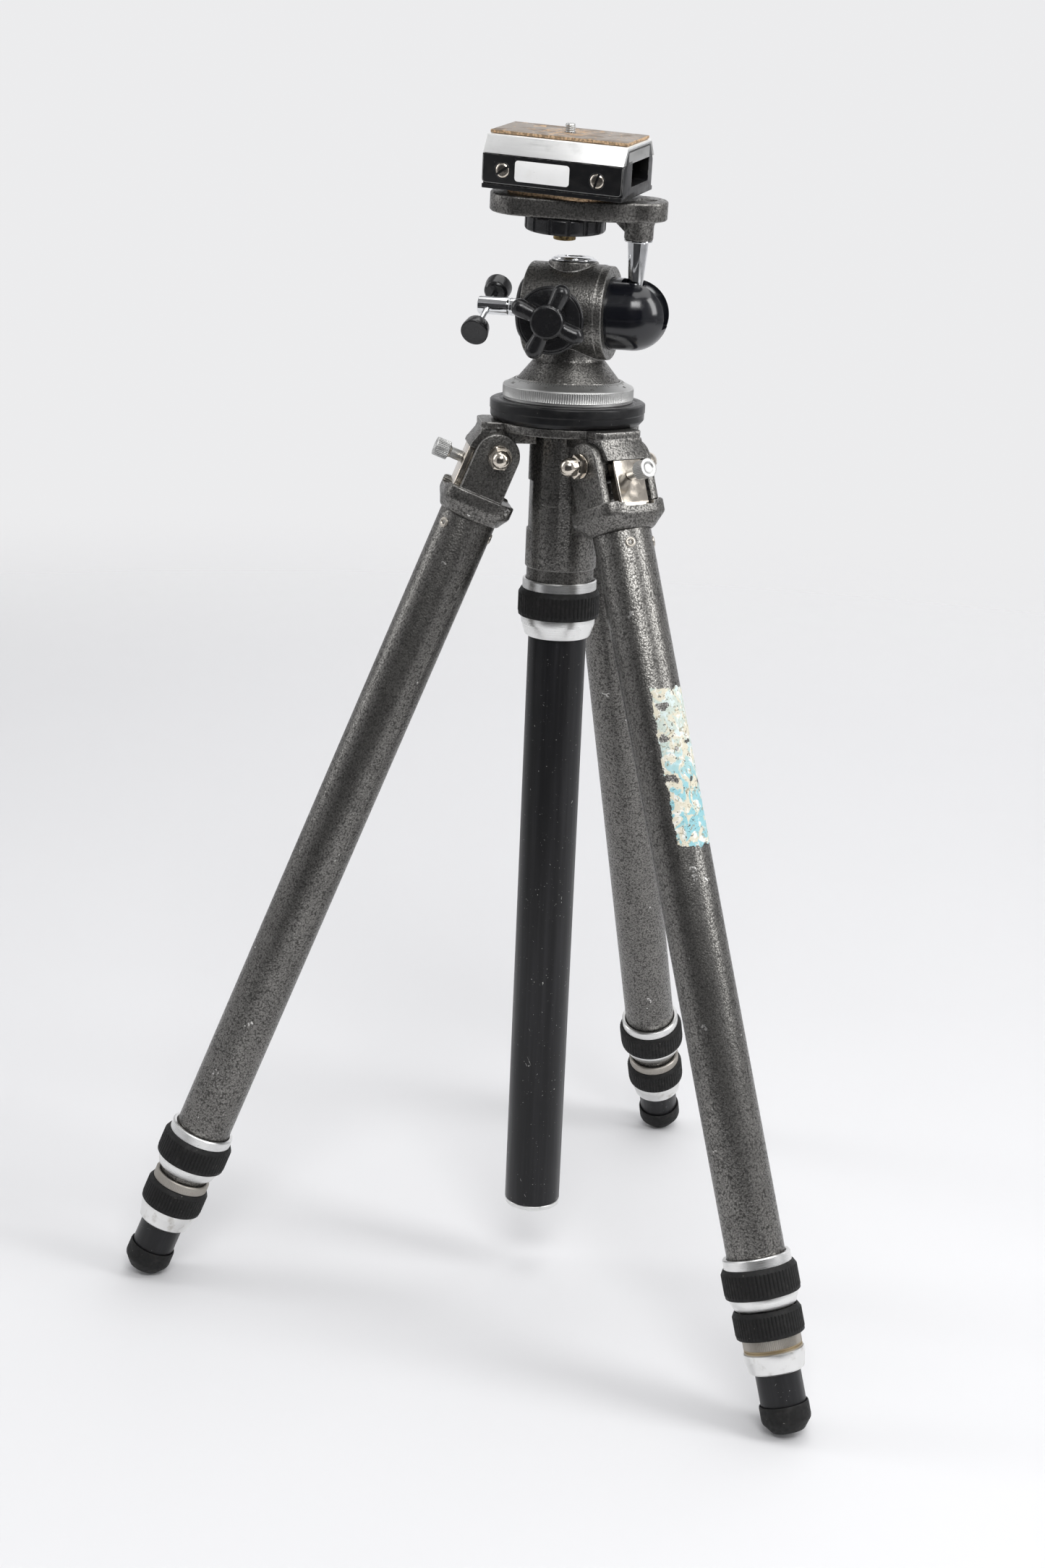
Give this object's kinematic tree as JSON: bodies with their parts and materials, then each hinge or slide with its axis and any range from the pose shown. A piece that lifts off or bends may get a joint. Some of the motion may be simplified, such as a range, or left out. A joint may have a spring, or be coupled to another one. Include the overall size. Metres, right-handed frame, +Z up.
{
  "type": "photographic tripod",
  "caption": "Folding tripod with telescoping twist-lock legs, sliding centre column, offset ball head and a camera adapter block with cork pads.",
  "frame": {"origin": "on the floor under the column axis, level with the lowest edge of the three feet", "axes": "+Z up along the centre column; +Y towards the rear leg; +X to the right of someone facing the star knob"},
  "size_m": [0.4776, 0.4176, 0.7566],
  "materials": {
    "hammertone": "hammertone enamel, grey, slightly worn",
    "black_paint": "semi-gloss black paint, scratched",
    "black_anodised": "satin black anodised",
    "bright_aluminium": "bright turned",
    "satin_aluminium": "satin with engraved scale",
    "nickel": "warm nickel plate",
    "chrome": "mirror",
    "bakelite": "black moulded, semi-gloss",
    "rubber": "ribbed black rubber",
    "cork": "cork sheet",
    "brass": "dulled brass",
    "level_glass": "clear bubble level",
    "white_label": "plain white label"
  },
  "bodies": {
    "spider": {"spider": "hammertone"},
    "column_lock": {"column_nut": "bright_aluminium", "column_grip": "rubber"},
    "column": {"column_tube": "black_anodised", "column_cap": "bright_aluminium", "platform": "black_paint"},
    "scale_ring": {"pan_ring": "satin_aluminium"},
    "head": {"head_housing": "hammertone", "level_cap": "chrome"},
    "star_knob": {"star_knob": "bakelite"},
    "barrel": {"barrel": "black_anodised", "barrel_end_cap": "black_paint"},
    "lock_handle": {"lock_rod": "chrome", "rear_cross_knob": "bakelite", "front_cross_knob": "bakelite"},
    "stem": {"stem": "chrome"},
    "camera_plate": {"camera_plate": "hammertone"},
    "thumb_wheel": {"thumb_wheel": "bakelite"},
    "plate_screw": {"plate_screw": "brass"},
    "adapter": {"adapter_body": "black_paint", "adapter_hood": "bright_aluminium", "front_cover": "black_paint", "top_cork": "cork"},
    "camera_screw": {"camera_screw": "bright_aluminium"},
    "left_leg": {"left_yoke": "hammertone", "left_hinge_bolt": "nickel", "left_upper_tube": "hammertone"},
    "left_latch": {"left_latch_plate": "nickel", "left_latch_knob": "bright_aluminium"},
    "left_first_lock": {"left_first_nut": "bright_aluminium", "left_first_grip": "rubber"},
    "left_middle_section": {"left_middle_tube": "hammertone"},
    "left_second_lock": {"left_second_nut": "bright_aluminium", "left_second_grip": "rubber"},
    "left_lower_section": {"left_lower_tube": "black_anodised", "left_foot": "rubber"},
    "right_leg": {"right_yoke": "hammertone", "right_hinge_bolt": "nickel", "right_upper_tube": "hammertone"},
    "right_latch": {"right_latch_plate": "nickel", "right_latch_knob": "bright_aluminium"},
    "right_first_lock": {"right_first_nut": "bright_aluminium", "right_first_grip": "rubber"},
    "right_middle_section": {"right_middle_tube": "hammertone"},
    "right_second_lock": {"right_second_nut": "bright_aluminium", "right_second_grip": "rubber"},
    "right_lower_section": {"right_lower_tube": "black_anodised", "right_foot": "rubber"},
    "rear_leg": {"rear_yoke": "hammertone", "rear_hinge_bolt": "nickel", "rear_upper_tube": "hammertone"},
    "rear_latch": {"rear_latch_plate": "nickel", "rear_latch_knob": "bright_aluminium"},
    "rear_first_lock": {"rear_first_nut": "bright_aluminium", "rear_first_grip": "rubber"},
    "rear_middle_section": {"rear_middle_tube": "hammertone"},
    "rear_second_lock": {"rear_second_nut": "bright_aluminium", "rear_second_grip": "rubber"},
    "rear_lower_section": {"rear_lower_tube": "black_anodised", "rear_foot": "rubber"}
  },
  "joints": [
    {"name": "left_leg_fold", "type": "hinge", "parent": "spider", "child": "left_leg", "pos_m": [-0.03767, -0.02175, 0.55726], "axis": [0.5, -0.866, 0], "range_deg": [0, 20.5]},
    {"name": "left_latch_pull", "type": "slide", "parent": "left_leg", "child": "left_latch", "axis": [-0.8058, -0.4652, 0.3665], "range_m": [0, 0.004], "stiffness_N_per_m": 600},
    {"name": "left_first_lock_twist", "type": "hinge", "parent": "left_leg", "child": "left_first_lock", "pos_m": [-0.19732, -0.11392, 0.08926], "axis": [-0.3174, -0.1833, -0.9304], "range_deg": [0, 270]},
    {"name": "left_middle_slide", "type": "slide", "parent": "left_leg", "child": "left_middle_section", "axis": [-0.3174, -0.1833, -0.9304], "range_m": [-0.0035, 0.4]},
    {"name": "left_second_lock_twist", "type": "hinge", "parent": "left_middle_section", "child": "left_second_lock", "pos_m": [-0.20938, -0.12089, 0.05391], "axis": [-0.3174, -0.1833, -0.9304], "range_deg": [0, 270]},
    {"name": "left_lower_slide", "type": "slide", "parent": "left_middle_section", "child": "left_lower_section", "axis": [-0.3174, -0.1833, -0.9304], "range_m": [-0.016, 0.4]},
    {"name": "right_leg_fold", "type": "hinge", "parent": "spider", "child": "right_leg", "pos_m": [0.03767, -0.02175, 0.55726], "axis": [0.5, 0.866, 0], "range_deg": [0, 20.5]},
    {"name": "right_latch_pull", "type": "slide", "parent": "right_leg", "child": "right_latch", "axis": [0.8058, -0.4652, 0.3665], "range_m": [0, 0.004], "stiffness_N_per_m": 600},
    {"name": "right_first_lock_twist", "type": "hinge", "parent": "right_leg", "child": "right_first_lock", "pos_m": [0.19732, -0.11392, 0.08926], "axis": [0.3174, -0.1833, -0.9304], "range_deg": [0, 270]},
    {"name": "right_middle_slide", "type": "slide", "parent": "right_leg", "child": "right_middle_section", "axis": [0.3174, -0.1833, -0.9304], "range_m": [0, 0.4]},
    {"name": "right_second_lock_twist", "type": "hinge", "parent": "right_middle_section", "child": "right_second_lock", "pos_m": [0.20938, -0.12089, 0.05391], "axis": [0.3174, -0.1833, -0.9304], "range_deg": [0, 270]},
    {"name": "right_lower_slide", "type": "slide", "parent": "right_middle_section", "child": "right_lower_section", "axis": [0.3174, -0.1833, -0.9304], "range_m": [-0.016, 0.4]},
    {"name": "rear_leg_fold", "type": "hinge", "parent": "spider", "child": "rear_leg", "pos_m": [0, 0.0435, 0.55726], "axis": [-1, 0, 0], "range_deg": [0, 20.5]},
    {"name": "rear_latch_pull", "type": "slide", "parent": "rear_leg", "child": "rear_latch", "axis": [0, 0.9304, 0.3665], "range_m": [0, 0.004], "stiffness_N_per_m": 600},
    {"name": "rear_first_lock_twist", "type": "hinge", "parent": "rear_leg", "child": "rear_first_lock", "pos_m": [0, 0.22785, 0.08926], "axis": [0, 0.3665, -0.9304], "range_deg": [0, 270]},
    {"name": "rear_middle_slide", "type": "slide", "parent": "rear_leg", "child": "rear_middle_section", "axis": [0, 0.3665, -0.9304], "range_m": [-0.0055, 0.4]},
    {"name": "rear_second_lock_twist", "type": "hinge", "parent": "rear_middle_section", "child": "rear_second_lock", "pos_m": [0, 0.24178, 0.05391], "axis": [0, 0.3665, -0.9304], "range_deg": [0, 270]},
    {"name": "rear_lower_slide", "type": "slide", "parent": "rear_middle_section", "child": "rear_lower_section", "axis": [0, 0.3665, -0.9304], "range_m": [-0.016, 0.4]},
    {"name": "column_lock_twist", "type": "hinge", "parent": "spider", "child": "column_lock", "pos_m": [0, 0, 0.46426], "axis": [0, 0, -1], "range_deg": [0, 270]},
    {"name": "column_slide", "type": "slide", "parent": "spider", "child": "column", "axis": [0, 0, 1], "range_m": [0, 0.4]},
    {"name": "scale_ring_turn", "type": "hinge", "parent": "column", "child": "scale_ring", "pos_m": [0, 0, 0.59526], "axis": [0, 0, 1], "continuous": true},
    {"name": "pan", "type": "hinge", "parent": "column", "child": "head", "pos_m": [0, 0, 0.60126], "axis": [0, 0, 1], "continuous": true},
    {"name": "star_knob_turn", "type": "hinge", "parent": "head", "child": "star_knob", "pos_m": [-0.00913, -0.00112, 0.64176], "axis": [0.2588, -0.9659, 0], "range_deg": [0, 270]},
    {"name": "barrel_turn", "type": "hinge", "parent": "head", "child": "barrel", "pos_m": [0, 0, 0.64526], "axis": [0.9925, 0.1219, 0], "range_deg": [-105, 30]},
    {"name": "lock_handle_turn", "type": "hinge", "parent": "barrel", "child": "lock_handle", "pos_m": [-0.0526, -0.00646, 0.64526], "axis": [0.9925, 0.1219, 0], "range_deg": [-180, 180]},
    {"name": "stem_tilt", "type": "hinge", "parent": "barrel", "child": "stem", "pos_m": [0.03871, 0.00475, 0.64526], "axis": [-0.1211, 0.9862, 0.1132], "range_deg": [-4, 84]},
    {"name": "plate_swivel", "type": "hinge", "parent": "stem", "child": "camera_plate", "pos_m": [0.04148, -0.0006, 0.6949], "axis": [0.0553, -0.1072, 0.9927], "continuous": true},
    {"name": "thumb_wheel_turn", "type": "hinge", "parent": "camera_plate", "child": "thumb_wheel", "pos_m": [-0.00212, -0.0114, 0.69868], "axis": [0.0553, -0.1072, 0.9927], "continuous": true},
    {"name": "plate_screw_turn", "type": "hinge", "parent": "camera_plate", "child": "plate_screw", "pos_m": [-0.0017, -0.0122, 0.70613], "axis": [0.0553, -0.1072, 0.9927], "continuous": true},
    {"name": "adapter_turn", "type": "hinge", "parent": "camera_plate", "child": "adapter", "pos_m": [-0.00102, -0.01352, 0.71834], "axis": [0.0553, -0.1072, 0.9927], "continuous": true},
    {"name": "camera_screw_turn", "type": "hinge", "parent": "adapter", "child": "camera_screw", "pos_m": [0.00068, -0.01682, 0.74891], "axis": [0.0553, -0.1072, 0.9927], "continuous": true}
  ]
}
